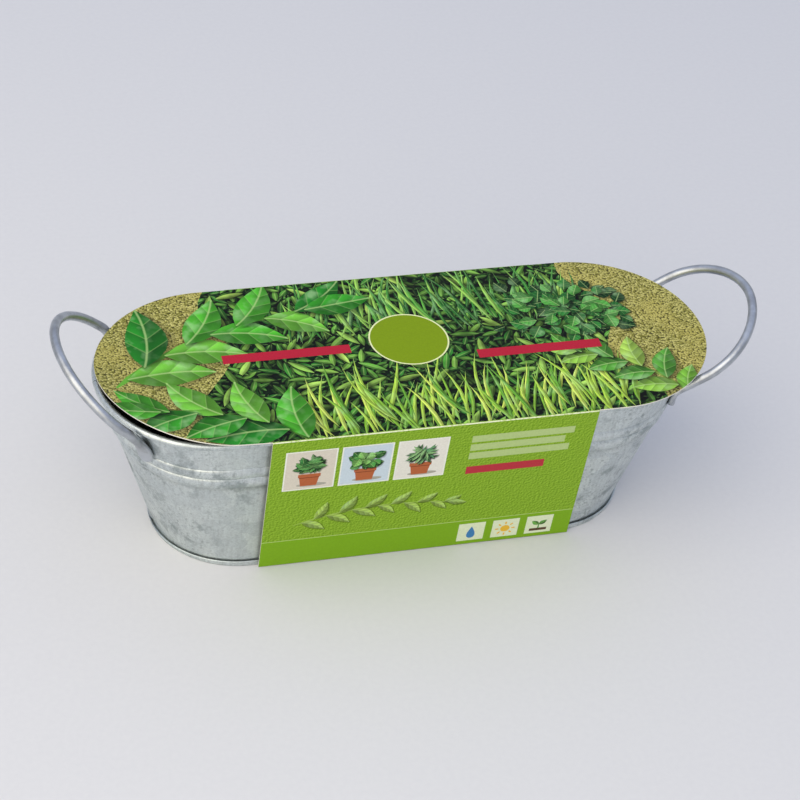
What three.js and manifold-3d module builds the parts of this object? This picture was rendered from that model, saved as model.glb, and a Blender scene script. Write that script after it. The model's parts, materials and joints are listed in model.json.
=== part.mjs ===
// Zinc herb planter: an oval zinc trough with two wire handles, a printed card sleeve over its mouth,
// and the sowing kit that lies inside. Millimetres, +Z up, the front faces -Y, the origin is on the floor.
import * as THREE from 'three';
import Module from 'manifold-3d';

const wasm = await Module();
wasm.setup();

// Trough wall: plan sizes over the outside of the sheet, at the foot and under the rolled rim
const footLength = 247;
const footWidth = 86;
const mouthLength = 298.8;
const mouthWidth = 108.4;
const rimHeight = 92.3;
const sheet = 0.5;
const fitGap = 0.3;

// Pressed beads that run round the wall, counted down from the rolled rim
const beadCount = 2;
const beadHeight = 6.7;
const beadRise = 1;
const beadDrop = 16.5;

// Rolled rim, with a wire inside
const rimWireDiameter = 1.8;
const curlSweep = THREE.MathUtils.degToRad(290);

// Lap where the front half of the wall covers the back half at each end
const lapFootGap = 0.8;
const lapRimGap = 1;

// Base pan: its channel holds the wall's lower edge and stands on the floor as a foot ring
const footHeight = 4.2;
const baseRecess = 4.5;

// Handles: bent wire, its ends flattened into paddles that lie on the wall above the beads
const wireDiameter = 4.6;
const paddleWidth = 9;
const paddleThickness = 2;
const paddleLength = 5;
const paddleTip = 3;
const paddleBeadGap = 0.8;
const neckLength = 9;
const neckRimGap = 0.9;

// Each loop: where it leaves the wall, its tilt above level, and the bend of half its outline.
// Out is measured along the tilted loop from the neck, spread is measured sideways from the middle.
const leftLoop = {
  side: -1,
  rootAngle: THREE.MathUtils.degToRad(42.2),
  neckDrop: 2.4,
  tilt: THREE.MathUtils.degToRad(43.3),
  shoulderOut: 16.6,
  shoulderSpread: 42.5,
  reach: 40.9,
  crownSpread: 26.8,
};
const rightLoop = {
  side: 1,
  rootAngle: THREE.MathUtils.degToRad(38.7),
  neckDrop: 6.5,
  tilt: THREE.MathUtils.degToRad(34.5),
  shoulderOut: 29.9,
  shoulderSpread: 43.8,
  reach: 47.2,
  crownSpread: 19.4,
};

// Card sleeve: it lies on the rim a little off centre, and its panels hang from fold lines outside the rim
const cardThickness = 0.6;
const cardEndOverhang = 2.2;
const cardShiftX = 3.6;
const cardShiftY = 1;
const foldSlack = 1.8;
const foldGap = 0.3;
const panelWidth = 161.4;
const panelShiftX = 0.4;
const panelFloorGap = 0.6;
const panelFootGap = 1.2;

// Sowing kit: two bags end to end on the base, seed packets on top
const soilBagLength = 132;
const soilBagHeight = 48;
const granuleBagHeight = 42;
const bagSideGap = 2.5;
const bagEndGap = 10;
const bagMiddleGap = 2;
const bagRoundness = 3.2;
const bagFlat = 0.62;
const packetLength = 80;
const packetWidth = 58;
const packetThickness = 2.2;
const packetTurn = THREE.MathUtils.degToRad(14);

// Finishes
const zincSheet = { color: 0xb4babd, roughness: 0.42, metalness: 0.9 };
const drawnWire = { color: 0x8f9496, roughness: 0.5, metalness: 0.9 };
const leafCard = { color: 0x5f8a2f, roughness: 0.45, metalness: 0 };
const limeCard = { color: 0x86b81f, roughness: 0.45, metalness: 0 };
const soilFilm = { color: 0x2f2a24, roughness: 0.35, metalness: 0 };
const granuleFilm = { color: 0xa86a45, roughness: 0.35, metalness: 0 };
const packetPaper = { color: 0xe4dfd0, roughness: 0.5, metalness: 0 };

// Facets
const arcSteps = 9;
const beadSteps = 4;
const curlSteps = 12;
const rimWireSides = 8;
const wireSides = 12;
const handleSteps = 58;
const loopPoints = 7;
const cardArcSteps = 24;
const bagSides = 32;
const bagLevels = 8;

// Sizes that follow from those above
const footRadius = footWidth / 2;
const mouthRadius = mouthWidth / 2;
const footStraight = footLength / 2 - footRadius;
const mouthStraight = mouthLength / 2 - mouthRadius;
const sheetMiddle = -sheet / 2;
const curlInner = rimWireDiameter / 2 + fitGap;
const curlMiddle = curlInner + sheet / 2;
const curlOuter = curlInner + sheet;
const curlCentreOut = sheetMiddle + curlMiddle;
const curlCentreHeight = rimHeight - curlOuter;
const rimOut = curlCentreOut + curlOuter;
const flareTop = rimHeight - 2 * curlOuter;
const beadTop = flareTop - beadDrop;
const beadBottom = beadTop - beadCount * beadHeight;
const channelOut = fitGap + sheet;
const channelIn = -sheet - fitGap;
const baseTop = baseRecess + sheet;

const quarterTurn = Math.PI / 2;
const arcStep = quarterTurn / arcSteps;

// Half the straight length and the end radius of the wall's plan at a height
function plan(height) {
  const rise = THREE.MathUtils.clamp((height - footHeight) / (flareTop - footHeight), 0, 1);
  const straight = THREE.MathUtils.lerp(footStraight, mouthStraight, rise);
  const radius = THREE.MathUtils.lerp(footRadius, mouthRadius, rise);
  return { straight, radius };
}

// A point at a station round the plan, at a height and a distance outside the wall's outer face
function wallPoint(station, height, out) {
  const { straight, radius } = plan(height);
  const x = station.side * straight + (radius + out) * Math.cos(station.angle);
  const y = (radius + out) * Math.sin(station.angle);
  return new THREE.Vector3(x, y, height);
}

// Stations round half of the plan, anticlockwise from one end of the trough to the other
function halfRound(start) {
  const stations = [];
  for (const quarter of [0, 1]) {
    for (let i = 0; i <= arcSteps; i += 1) {
      const side = Math.cos(start) * (1 - 2 * quarter);
      stations.push({ side: Math.round(side), angle: start + quarter * quarterTurn + i * arcStep });
    }
  }
  return stations;
}

const frontRound = halfRound(Math.PI);
const backRound = halfRound(0);
const wholeRound = [...frontRound.slice(0, -1), ...backRound.slice(0, -1)];

// Triangles that fill a flat ring, anticlockwise about the ring's own normal
function fillRing(ring) {
  const normal = new THREE.Vector3();
  const turn = new THREE.Vector3();
  ring.forEach((point, i) => {
    normal.add(turn.crossVectors(point, ring[(i + 1) % ring.length]));
  });
  const flat = new THREE.Quaternion().setFromUnitVectors(normal.normalize(), new THREE.Vector3(0, 0, 1));
  const contour = ring.map((point) => {
    const laid = point.clone().applyQuaternion(flat);
    return new THREE.Vector2(laid.x, laid.y);
  });
  return THREE.ShapeUtils.triangulateShape(contour, []);
}

// A closed skin over a row of rings with flat ends, or over a loop of rings
function loft(rings, looped = false) {
  const count = rings[0].length;
  const index = [];
  const spans = looped ? rings.length : rings.length - 1;
  for (let i = 0; i < spans; i += 1) {
    const here = i * count;
    const next = ((i + 1) % rings.length) * count;
    for (let j = 0; j < count; j += 1) {
      const beside = (j + 1) % count;
      index.push(here + j, here + beside, next + beside);
      index.push(here + j, next + beside, next + j);
    }
  }
  if (!looped) {
    const last = (rings.length - 1) * count;
    for (const [a, b, c] of fillRing(rings[0])) {
      index.push(a, c, b);
    }
    for (const [a, b, c] of fillRing(rings.at(-1))) {
      index.push(last + a, last + b, last + c);
    }
  }
  const geometry = new THREE.BufferGeometry().setFromPoints(rings.flat());
  geometry.setIndex(index);
  return geometry;
}

// One solid out of several closed skins that overlap
function join(geometries) {
  const solids = geometries.map((geometry) => {
    const vertProperties = geometry.attributes.position.array;
    const triVerts = new Uint32Array(geometry.index.array);
    return new wasm.Manifold(new wasm.Mesh({ numProp: 3, vertProperties, triVerts }));
  });
  const mesh = solids.reduce((whole, solid) => whole.add(solid)).getMesh();
  const geometry = new THREE.BufferGeometry();
  geometry.setAttribute('position', new THREE.BufferAttribute(mesh.vertProperties, mesh.numProp));
  geometry.setIndex(new THREE.BufferAttribute(mesh.triVerts, 1));
  return geometry;
}

function piece(name, geometry, finish) {
  geometry.computeVertexNormals();
  const mesh = new THREE.Mesh(geometry, new THREE.MeshStandardMaterial({ ...finish, flatShading: true }));
  mesh.name = name;
  return mesh;
}

// Wall halves

// Middle line of the sheet through the beads, as distances out and heights
function beadLine() {
  const line = [];
  for (let i = 0; i <= beadCount * beadSteps; i += 1) {
    const swell = Math.abs(Math.sin((Math.PI * i) / beadSteps));
    line.push(new THREE.Vector2(sheetMiddle + beadRise * swell, beadBottom + (beadHeight * i) / beadSteps));
  }
  return line;
}

// Middle line of the rolled rim, over the top, outwards and down again
function curlLine() {
  const line = [];
  for (let i = 0; i <= curlSteps; i += 1) {
    const angle = Math.PI - (curlSweep * i) / curlSteps;
    const out = curlCentreOut + curlMiddle * Math.cos(angle);
    line.push(new THREE.Vector2(out, curlCentreHeight + curlMiddle * Math.sin(angle)));
  }
  return line;
}

// Both faces of the sheet along its middle line, as one closed outline
function thicken(line) {
  const inner = [];
  const outer = [];
  line.forEach((point, i) => {
    const before = line[Math.max(i - 1, 0)];
    const after = line[Math.min(i + 1, line.length - 1)];
    const inwards = new THREE.Vector2(before.y - after.y, after.x - before.x).setLength(sheet / 2);
    inner.push(point.clone().add(inwards));
    outer.unshift(point.clone().sub(inwards));
  });
  return [...inner, ...outer];
}

const sheetAt = (height) => new THREE.Vector2(sheetMiddle, height);
const wallLine = [
  sheetAt(sheet + fitGap),
  sheetAt(footHeight),
  ...beadLine(),
  sheetAt(flareTop),
  ...curlLine(),
];
const lapLine = [sheetAt(footHeight + lapFootGap), ...beadLine(), sheetAt(flareTop - lapRimGap)];

// Half of the wall: it stops half a gap short of the middle plane at both ends
function wallHalf(stations) {
  const outline = thicken(wallLine);
  const retreat = (Math.sign(Math.sin(stations[1].angle)) * fitGap) / 2;
  const rings = stations.map((station, i) => {
    const ring = outline.map((point) => wallPoint(station, point.y, point.x));
    if (i === 0 || i === stations.length - 1) {
      ring.forEach((point) => point.setY(retreat));
    }
    return ring;
  });
  return loft(rings);
}

// A lap: the sheet steps out over the back half's edge and follows it for one facet
function lap(side, angles, outs) {
  const outline = thicken(lapLine);
  const rings = angles.map((angle, i) => {
    return outline.map((point) => wallPoint({ side, angle }, point.y, point.x + outs[i]));
  });
  return loft(rings);
}

const lapOut = sheet + fitGap;
const leftLap = lap(-1, [Math.PI - arcStep, Math.PI, Math.PI + arcStep], [lapOut, lapOut, 0]);
const rightLap = lap(1, [-arcStep, 0, arcStep], [0, lapOut, lapOut]);
const frontWall = piece('front_wall', join([wallHalf(frontRound), leftLap, rightLap]), zincSheet);
const backWall = piece('back_wall', wallHalf(backRound), zincSheet);

// Rim wire
const rimWireRings = wholeRound.map((station) => {
  const ring = [];
  for (let j = 0; j < rimWireSides; j += 1) {
    const angle = (-2 * Math.PI * j) / rimWireSides;
    const out = curlCentreOut + (rimWireDiameter / 2) * Math.cos(angle);
    const height = curlCentreHeight + (rimWireDiameter / 2) * Math.sin(angle);
    ring.push(wallPoint(station, height, out));
  }
  return ring;
});
const rimWire = piece('rim_wire', loft(rimWireRings, true), drawnWire);

// Base pan: from under the recessed base, round the channel, to the top of the base
const panLine = [
  new THREE.Vector2(channelIn - sheet, baseRecess),
  new THREE.Vector2(channelIn - sheet, 0),
  new THREE.Vector2(channelOut, 0),
  new THREE.Vector2(channelOut, footHeight),
  new THREE.Vector2(channelOut - sheet, footHeight),
  new THREE.Vector2(channelOut - sheet, sheet),
  new THREE.Vector2(channelIn, sheet),
  new THREE.Vector2(channelIn, baseTop),
];
const panRings = panLine.map((point) => wholeRound.map((station) => wallPoint(station, point.y, point.x)));
const basePan = piece('base_pan', loft(panRings), zincSheet);

// Handles

// Half of a handle's middle line, from the foot of its paddle to the crown of the loop
function handleHalf(loop) {
  const angle = loop.side > 0 ? -loop.rootAngle : Math.PI + loop.rootAngle;
  const station = { side: loop.side, angle };
  const lay = fitGap + paddleThickness / 2;
  const paddleFoot = beadTop + paddleBeadGap;
  const neckOut = rimOut + wireDiameter / 2 + neckRimGap;
  const neck = wallPoint(station, rimHeight - loop.neckDrop, neckOut);
  const onLoop = (out, spread) => {
    const x = neck.x + loop.side * out * Math.cos(loop.tilt);
    return new THREE.Vector3(x, -spread, neck.z + out * Math.sin(loop.tilt));
  };
  const bend = new THREE.CubicBezierCurve3(
    neck,
    onLoop(loop.shoulderOut, loop.shoulderSpread),
    onLoop(loop.reach, loop.crownSpread),
    onLoop(loop.reach, 0),
  );
  const flat = wallPoint(station, paddleFoot + paddleLength, lay);
  return [wallPoint(station, paddleFoot, lay), flat, ...bend.getPoints(loopPoints)];
}

// A whole handle: its middle line is mirrored, and its section turns from a flat paddle into a round wire
function handle(name, loop) {
  const half = handleHalf(loop);
  const mirrored = half.slice(0, -1).map((point) => new THREE.Vector3(point.x, -point.y, point.z));
  const path = new THREE.CatmullRomCurve3([...half, ...mirrored.reverse()]);
  const length = path.getLength();
  const outwards = new THREE.Vector3(loop.side * Math.cos(loop.rootAngle), -Math.sin(loop.rootAngle), 0);
  let along = path.getTangentAt(0);
  outwards.addScaledVector(along, -outwards.dot(along)).normalize();
  const rings = [];
  for (let i = 0; i <= handleSteps; i += 1) {
    const share = i / handleSteps;
    const tangent = path.getTangentAt(share);
    outwards.applyQuaternion(new THREE.Quaternion().setFromUnitVectors(along, tangent));
    along = tangent;
    const sideways = new THREE.Vector3().crossVectors(tangent, outwards);
    const fromTip = length * Math.min(share, 1 - share);
    const round = THREE.MathUtils.smoothstep(fromTip, paddleLength, paddleLength + neckLength);
    const tip = THREE.MathUtils.smoothstep(fromTip, -paddleTip, paddleTip);
    const thick = THREE.MathUtils.lerp(paddleThickness, wireDiameter, round) / 2;
    const wide = THREE.MathUtils.lerp(paddleWidth * tip, wireDiameter, round) / 2;
    const centre = path.getPointAt(share);
    const ring = [];
    for (let j = 0; j < wireSides; j += 1) {
      const angle = (2 * Math.PI * j) / wireSides;
      const point = centre.clone().addScaledVector(outwards, thick * Math.cos(angle));
      ring.push(point.addScaledVector(sideways, wide * Math.sin(angle)));
    }
    rings.push(ring);
  }
  return piece(name, loft(rings), zincSheet);
}

// Card sleeve

const rimHalfLength = mouthLength / 2 + rimOut;
const rimHalfWidth = mouthRadius + rimOut;
const foldHalf = rimHalfWidth + foldSlack + cardShiftY;
const cardRadius = foldHalf - cardThickness / 2 - foldGap;
const cardStraight = rimHalfLength + cardEndOverhang - cardRadius;
const cardMiddle = rimHeight + fitGap + cardThickness / 2;

function topCard() {
  const outline = new THREE.Shape();
  outline.absarc(cardStraight, 0, cardRadius, -quarterTurn, quarterTurn);
  outline.absarc(-cardStraight, 0, cardRadius, quarterTurn, 3 * quarterTurn);
  const settings = { depth: cardThickness, bevelEnabled: false, curveSegments: cardArcSteps };
  const geometry = new THREE.ExtrudeGeometry(outline, settings);
  geometry.translate(0, 0, -cardThickness / 2);
  return piece('top_card', geometry, leafCard);
}

// A panel hangs from its fold and leans in until its lower edge stands close outside the foot ring
function panel(name, side) {
  const foldOut = foldHalf + side * cardShiftY;
  const footOut = footRadius + channelOut + panelFootGap + cardThickness / 2;
  const drop = cardMiddle - panelFloorGap;
  const length = Math.hypot(foldOut - footOut, drop);
  const geometry = new THREE.BoxGeometry(panelWidth, cardThickness, length);
  geometry.translate(0, 0, -length / 2);
  const mesh = piece(name, geometry, limeCard);
  mesh.position.set(panelShiftX, side * foldHalf, 0);
  mesh.rotation.x = -side * Math.atan2(foldOut - footOut, drop);
  return mesh;
}

const sleeve = new THREE.Group();
sleeve.add(topCard(), panel('front_panel', -1), panel('back_panel', 1));
sleeve.position.set(cardShiftX, cardShiftY, cardMiddle);

// Sowing kit

const bagFloor = baseTop + fitGap;
const bagWidth = footWidth + 2 * (channelIn - bagSideGap);
const baseLength = footLength + 2 * (channelIn - bagEndGap);
const granuleBagLength = baseLength - soilBagLength - bagMiddleGap;

// A filled bag that lies on the base: flat under and on top, swelling between
function bag(length, width, height) {
  const rings = [];
  for (let i = 0; i <= bagLevels; i += 1) {
    const turn = (Math.PI * i) / bagLevels;
    const swell = THREE.MathUtils.lerp(bagFlat, 1, Math.sqrt(Math.sin(turn)));
    const level = (height * (1 - Math.cos(turn))) / 2;
    const ring = [];
    for (let j = 0; j < bagSides; j += 1) {
      const angle = (2 * Math.PI * j) / bagSides;
      const along = Math.sign(Math.cos(angle)) * Math.abs(Math.cos(angle)) ** (2 / bagRoundness);
      const across = Math.sign(Math.sin(angle)) * Math.abs(Math.sin(angle)) ** (2 / bagRoundness);
      ring.push(new THREE.Vector3((swell * length * along) / 2, (swell * width * across) / 2, level));
    }
    rings.push(ring);
  }
  return loft(rings);
}

const soilBag = piece('potting_soil_bag', bag(soilBagLength, bagWidth, soilBagHeight), soilFilm);
soilBag.position.set((soilBagLength - baseLength) / 2, 0, bagFloor);
const granules = bag(granuleBagLength, bagWidth, granuleBagHeight);
const granuleBag = piece('clay_granule_bag', granules, granuleFilm);
granuleBag.position.set((baseLength - granuleBagLength) / 2, 0, bagFloor);

// Two packets lie crossed on the soil bag, one lies on the granule bag
const packetSeats = [
  { on: soilBag, height: soilBagHeight, below: 0, turn: packetTurn },
  { on: soilBag, height: soilBagHeight, below: 1, turn: -packetTurn },
  { on: granuleBag, height: granuleBagHeight, below: 0, turn: 0 },
];
const packets = packetSeats.map((seat, i) => {
  const geometry = new THREE.BoxGeometry(packetLength, packetWidth, packetThickness);
  const packet = piece(`seed_packet_${i + 1}`, geometry, packetPaper);
  const rise = seat.height + fitGap + packetThickness / 2 + seat.below * (packetThickness + fitGap);
  packet.position.copy(seat.on.position);
  packet.position.z += rise;
  packet.rotation.z = seat.turn;
  return packet;
});

const planter = new THREE.Group();
planter.add(frontWall, backWall, rimWire, basePan);
planter.add(handle('left_handle', leftLoop), handle('right_handle', rightLoop));
planter.add(sleeve, soilBag, granuleBag, ...packets);

// The origin lies under the middle of the whole outline, because the two handles differ
const box = new THREE.Box3().setFromObject(planter, true);
planter.position.set(-(box.min.x + box.max.x) / 2, -(box.min.y + box.max.y) / 2, -box.min.z);

export default planter;
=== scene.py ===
import json
import random
from collections import namedtuple
from functools import partial
from itertools import accumulate
from math import atan2, copysign, cos, pi, radians, sin, sqrt

import bpy
from mathutils import Euler, Matrix, Vector, noise
from mathutils.geometry import delaunay_2d_cdt


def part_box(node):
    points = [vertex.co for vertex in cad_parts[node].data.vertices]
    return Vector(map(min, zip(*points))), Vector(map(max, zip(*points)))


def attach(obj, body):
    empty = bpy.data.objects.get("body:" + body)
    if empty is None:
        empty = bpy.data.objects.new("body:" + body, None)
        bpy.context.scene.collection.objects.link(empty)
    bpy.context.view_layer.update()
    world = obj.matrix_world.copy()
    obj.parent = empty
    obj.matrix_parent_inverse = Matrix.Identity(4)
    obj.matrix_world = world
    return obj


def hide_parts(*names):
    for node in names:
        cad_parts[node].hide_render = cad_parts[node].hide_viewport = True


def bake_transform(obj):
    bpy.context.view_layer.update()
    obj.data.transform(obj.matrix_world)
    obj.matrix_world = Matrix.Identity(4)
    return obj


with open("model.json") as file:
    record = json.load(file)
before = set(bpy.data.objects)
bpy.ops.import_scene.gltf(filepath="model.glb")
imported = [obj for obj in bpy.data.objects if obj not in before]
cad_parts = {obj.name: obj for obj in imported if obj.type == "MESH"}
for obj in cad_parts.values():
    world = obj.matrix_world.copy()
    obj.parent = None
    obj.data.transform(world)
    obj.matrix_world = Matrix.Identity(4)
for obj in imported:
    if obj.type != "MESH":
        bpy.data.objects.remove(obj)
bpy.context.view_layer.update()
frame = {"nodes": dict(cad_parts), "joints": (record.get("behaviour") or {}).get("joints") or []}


# Camera: a short telephoto on a stand in front of the planter, a little to its left, looking down on it.
# Its direction, tilt and distance are fitted to the outlines of the card, panel, rim, foot and handles.
mm = 0.001
photo_width = 800
focal_pixels = 2266.9
sensor_width = 36
middle_drop_pixels = 12
camera_yaw = radians(18.32)
camera_pitch = radians(39.72)
camera_roll = radians(-6.31)
camera_distance = 1144.5 * mm
camera_right = 3.12 * mm
camera_higher = 1.64 * mm
aim_height = 51.5 * mm

scene = bpy.context.scene
scene.view_settings.view_transform = "Standard"

pan_low, pan_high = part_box("base_pan")
trough_middle = Vector(((pan_low.x + pan_high.x) / 2, (pan_low.y + pan_high.y) / 2, 0))
aim = trough_middle + Vector((0, 0, aim_height))
facing = Euler((pi / 2 - camera_pitch, 0, -camera_yaw)).to_matrix() @ Matrix.Rotation(-camera_roll, 3, "Z")
stand = aim + facing @ Vector((camera_right, camera_higher, camera_distance))

lens = bpy.data.cameras.new("product_lens")
lens.sensor_width = sensor_width
lens.lens = focal_pixels * sensor_width / photo_width
lens.shift_y = middle_drop_pixels / photo_width
camera = bpy.data.objects.new("product_camera", lens)
camera.matrix_world = Matrix.Translation(stand) @ facing.to_4x4()
scene.collection.objects.link(camera)
scene.camera = camera


# Base pan: one pressing of galvanised zinc sheet, a flat base set up inside a narrow channel.
# The channel is crimped round the lower edge of the wall, and it is the foot ring that stands on the floor.
sheet = 0.5 * mm
seam_gap = 0.3 * mm
foot_height = 4.2 * mm
base_recess = 4.5 * mm
crevice = 0.7 * mm
channel_out = crevice + sheet
channel_in = -sheet - seam_gap
foot_round = 0.7 * mm
foot_lean = 0.4 * mm
lip_height = 3.4 * mm
lip_fall = 0.55
lip_round = 0.2 * mm
round_steps = 4
arc_steps = 48
straight_steps = 40

wire_low, wire_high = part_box("rim_wire")
back_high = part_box("back_wall")[1]
rim_height = back_high.z
curl_middle = (wire_high.z - wire_low.z) / 2 + seam_gap + sheet / 2
curl_outer = curl_middle + sheet / 2
curl_centre_out = curl_middle - sheet / 2
rim_out = curl_centre_out + curl_outer
flare_top = rim_height - 2 * curl_outer

foot_radius = (pan_high.y - pan_low.y) / 2 - channel_out
foot_straight = (pan_high.x - pan_low.x) / 2 - channel_out - foot_radius
mouth_radius = back_high.y - trough_middle.y - rim_out
mouth_straight = back_high.x - trough_middle.x - rim_out - mouth_radius
noise_span = (0.3, 0.7)


def linear(colour):
    """An sRGB hex colour as the linear colour that a shader takes."""
    channels = [int(colour[i:i + 2], 16) / 255 for i in (1, 3, 5)]
    return [c / 12.92 if c <= 0.04045 else ((c + 0.055) / 1.055) ** 2.4 for c in channels] + [1]


def node(tree, kind, *links, out=None, **values):
    """Adds a shader node and gives back one of its outputs, the first unless it is named.

    The kind may end in an operation or blend type. Links fill the inputs in order. A value with a capital
    fills the input of its name, but From and To are ranges and Size is that of a pattern. Other values are
    settings. Hex colours are made linear.
    """
    kind, _, mode = kind.partition(".")
    made = tree.nodes.new("ShaderNode" + kind)
    if kind == "Mix":
        made.data_type = "RGBA"
    if mode:
        setattr(made, "blend_type" if kind == "Mix" else "operation", mode)
    for name in filter(str.islower, values):
        setattr(made, name, values[name])
    inputs = list(zip([socket for socket in made.inputs if socket.enabled], links))
    for name, value in values.items():
        if name in ("From", "To"):
            inputs += zip((made.inputs[name + " Min"], made.inputs[name + " Max"]), value)
        elif name == "Size":
            inputs.append((made.inputs["Scale"], 1 / value))
        elif not name.islower():
            inputs.append((made.inputs[name.replace("_", " ")], value))
    for socket, value in inputs:
        if isinstance(value, bpy.types.NodeSocket):
            tree.links.new(value, socket)
        else:
            socket.default_value = linear(value) if isinstance(value, str) else value
    if out:
        return made.outputs[out]
    return next((socket for socket in made.outputs if socket.enabled), None)


def made_of(name, draw, **values):
    """A material: draw adds its nodes, and gives back what goes into the shader of its surface."""
    material = bpy.data.materials.new(name)
    material.use_nodes = True
    material.node_tree.nodes.clear()
    add = partial(node, material.node_tree)
    add("OutputMaterial", add("BsdfPrincipled", **draw(add, **values)))
    return material


def galvanised_sheet(add):
    """Hot-dipped zinc sheet: pale grey metal with faint crystal flakes, dull stains and rolling streaks."""
    flake = 9 * mm
    flake_warp = 5 * mm
    streak_squeeze = 0.05
    place = add("TexCoord", out="Object")
    drift = add("TexNoise", place, Size=flake, Detail=3, out="Color")
    bent = add("VectorMath.MULTIPLY_ADD", drift, [flake_warp] * 3, place)
    flake_tone = add("SeparateColor", add("TexVoronoi", bent, Size=flake, out="Color"))
    stains = add("TexNoise", place, Size=11 * mm, Detail=8, Roughness=0.74)
    patches = add("MapRange", stains, From=(0.52, 0.62))
    # Specks, streaks and grit are finer on a real sheet, and are drawn as coarse as they need to show.
    specks = add("TexNoise", place, Size=1.6 * mm, Detail=2)
    spots = add("MapRange", specks, From=(0.56, 0.7), To=(0, 0.7))
    drifts = add("TexNoise", place, Size=60 * mm, Detail=2)
    where = add("MapRange", drifts, From=(0.38, 0.62), To=(0.18, 0.75))
    stained = add("Math.MULTIPLY", add("Math.MAXIMUM", patches, spots), where)
    drawn = add("Mapping", place, Scale=(1, 1, streak_squeeze))
    streaks = add("TexNoise", drawn, Size=1.5 * mm, Detail=3)
    streak_tone = add("MapRange", streaks, From=noise_span, To=(0.91, 1.05))
    grits = add("TexNoise", place, Size=1 * mm, Detail=3)
    grit_tone = add("MapRange", grits, From=noise_span, To=(0.9, 1.07))
    tone = add("Math.MULTIPLY", streak_tone, grit_tone)
    dull = add("Mix", stained, add("Mix", flake_tone, "#d8dfde", "#cad2d3"), "#8f9a9b")
    colour = add("Mix.MULTIPLY", 1, dull, tone)
    rough = add("MapRange", stained, To=(0.42, 0.56))
    relief = add("Math.ADD", grits, flake_tone)
    normal = add("Bump", Strength=0.12, Distance=0.1 * mm, Height=relief)
    return {"Base_Color": colour, "Metallic": 1, "Roughness": rough, "Normal": normal}


def half_round(start):
    """Stations round half of the plan, from one end: a share of the straight, and an angle."""
    quarter = pi / 2
    side = round(cos(start))
    stations = [(side, start + quarter * i / arc_steps) for i in range(arc_steps)]
    stations += [(side - 2 * side * i / straight_steps, start + quarter) for i in range(straight_steps)]
    return stations + [(-side, start + quarter + quarter * i / arc_steps) for i in range(arc_steps + 1)]


def ramp(value, low, high):
    """The share of the way from low to high, kept between 0 and 1."""
    return min(max((value - low) / (high - low), 0), 1)


def wall_point(station, height, out):
    """A point on the flaring wall: a station round the plan, a height, and a distance out of the sheet."""
    side, angle = station
    rise = ramp(height, foot_height, flare_top)
    straight = foot_straight + (mouth_straight - foot_straight) * rise
    radius = foot_radius + (mouth_radius - foot_radius) * rise + out
    return trough_middle + Vector((side * straight + radius * cos(angle), radius * sin(angle), height))


def skin(rings):
    """Points and faces over a row of rings, capped at both ends."""
    count = len(rings[0])
    points = [point for ring in rings for point in ring]
    faces = []
    for here in range(0, len(points) - count, count):
        for j in range(count):
            beside = (j + 1) % count
            faces.append((here + j, here + beside, here + count + beside, here + count + j))
    faces.append(tuple(reversed(range(count))))
    faces.append(tuple(range(len(points) - count, len(points))))
    return points, faces


def piece(name, points, faces, materials, sharp_degrees=40):
    mesh = bpy.data.meshes.new(name)
    mesh.from_pydata(points, [], faces)
    for material in materials:
        mesh.materials.append(material)
    mesh.shade_smooth()
    mesh.set_sharp_from_angle(angle=radians(sharp_degrees))
    made = bpy.data.objects.new(name, mesh)
    scene.collection.objects.link(made)
    return made


def fit(made, solid, body="trough"):
    """Puts a piece on one of the frame's bodies, where it stands for the plain solid."""
    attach(made, body)
    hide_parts(solid)


def arc(centre, size, start, sweep, steps):
    """Points round part of an ellipse, with both ends."""
    turns = [start + sweep * i / steps for i in range(steps + 1)]
    return [(centre[0] + size[0] * cos(turn), centre[1] + size[1] * sin(turn)) for turn in turns]


def corner(out, height, radius, start):
    """A quarter round in the pan's section."""
    return arc((out, height), (radius, radius), start, pi / 2, round_steps)


def pan_point(station, out, height):
    """A point on the pan, whose outer lip stands lower round the two ends."""
    if out > 0 and height > foot_round:
        height = foot_round + (height - foot_round) * (1 - lip_fall * cos(station[1]) ** 2)
    return wall_point(station, height, out)


zinc_sheet = made_of("galvanised_zinc_sheet", galvanised_sheet)
whole_round = half_round(pi)[:-1] + half_round(0)[:-1]
pan_section = [
    (channel_in - sheet, base_recess),
    *corner(channel_in - sheet + foot_round, foot_round, foot_round, pi),
    *corner(channel_out - foot_lean - foot_round, foot_round, foot_round, 1.5 * pi),
    *corner(channel_out - lip_round, lip_height - lip_round, lip_round, 0),
    (channel_out - sheet, lip_height),
    (channel_out - sheet, sheet),
    (channel_in, sheet),
    (channel_in, base_recess + sheet),
]
pan_rings = [[pan_point(station, out, height) for station in whole_round] for out, height in pan_section]
fit(piece("foot_pan", *skin(pan_rings), [zinc_sheet]), "base_pan")


# Walls: two halves of galvanised zinc sheet, rolled with two pressed beads and curled over a wire at the
# rim. The front half laps over the back half at each end, where the two are soldered. The sheet is thin and
# springy, so the long sides are never quite flat.
bead_count = 2
bead_height = 6.7 * mm
bead_rise = 1.1 * mm
bead_steepness = 0.68
bead_drop = 16.5 * mm
bead_steps = 12
curl_sweep = radians(290)
curl_steps = 24
foot_steps = 2
wall_steps = 14
neck_steps = 5
dent_depth = 0.22 * mm
dent_size = 42 * mm
dent_start = 8.4 * mm
dent_fade = 16.8 * mm
lap_foot_gap = 0.8 * mm
lap_rim_gap = 0.3 * mm
lap_start = radians(-7.5)
lap_end = radians(9.5)
lap_step_turn = radians(4)
lap_rise = sheet + seam_gap
lap_steps = 16
solder_width = 1.8 * mm
solder_root = 0.3 * mm
solder_wave = 6 * mm
solder_waver = 0.5
solder_heel = 0.96
solder_brow = 0.7
bead_top = flare_top - bead_drop
bead_bottom = bead_top - bead_count * bead_height
lap_low = foot_round + (lip_height - foot_round) * (1 - lip_fall) + lap_foot_gap
lap_high = flare_top - lap_rim_gap


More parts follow.
